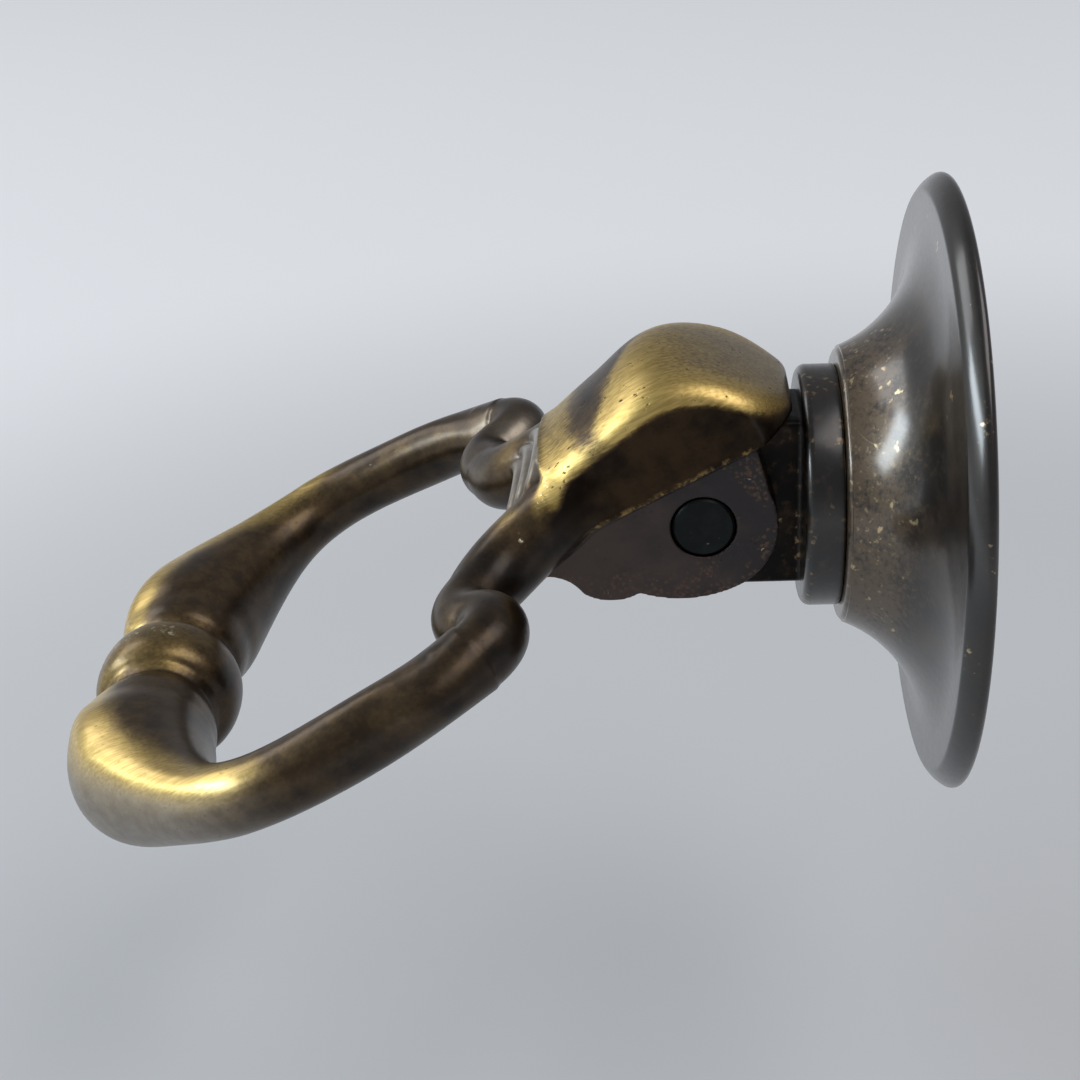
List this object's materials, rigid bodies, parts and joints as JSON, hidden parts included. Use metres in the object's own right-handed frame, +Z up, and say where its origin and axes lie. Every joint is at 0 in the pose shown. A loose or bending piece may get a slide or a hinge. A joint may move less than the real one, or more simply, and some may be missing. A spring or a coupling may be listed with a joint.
{
  "type": "drop pull",
  "caption": "Antique brass drop pull: a turned round rosette with a post and hinge pin, and a cast bail with a hooded top that swings down from a raised stop.",
  "frame": {"origin": "centre of the rosette's flat back, at the mouth of the tapped hole", "axes": "+Y along the screw hole's axis towards the drawer front that it is fixed to, the pull's front faces -Y, +Z up, X along the hinge pin"},
  "size_m": [0.0374, 0.0469, 0.032],
  "materials": {
    "rosette_brass": "turned, dark antique patina under clear lacquer, speckled with bare brass",
    "post_brass": "turned, near-black antique patina under clear lacquer",
    "pin_brass": "cut end, dull dark grey patina",
    "pendant_brass": "cast, dark antique patina rubbed back to bright brass on the high places, clear lacquer"
  },
  "bodies": {
    "base": {"rosette": "rosette_brass", "post": "post_brass", "pin": "pin_brass"},
    "pendant": {"pendant": "pendant_brass"}
  },
  "joints": [
    {"name": "pendant_swing", "type": "hinge", "parent": "base", "child": "pendant", "pos_m": [0, -0.01282, 0], "axis": [1, 0, 0], "range_deg": [0, 82]}
  ]
}
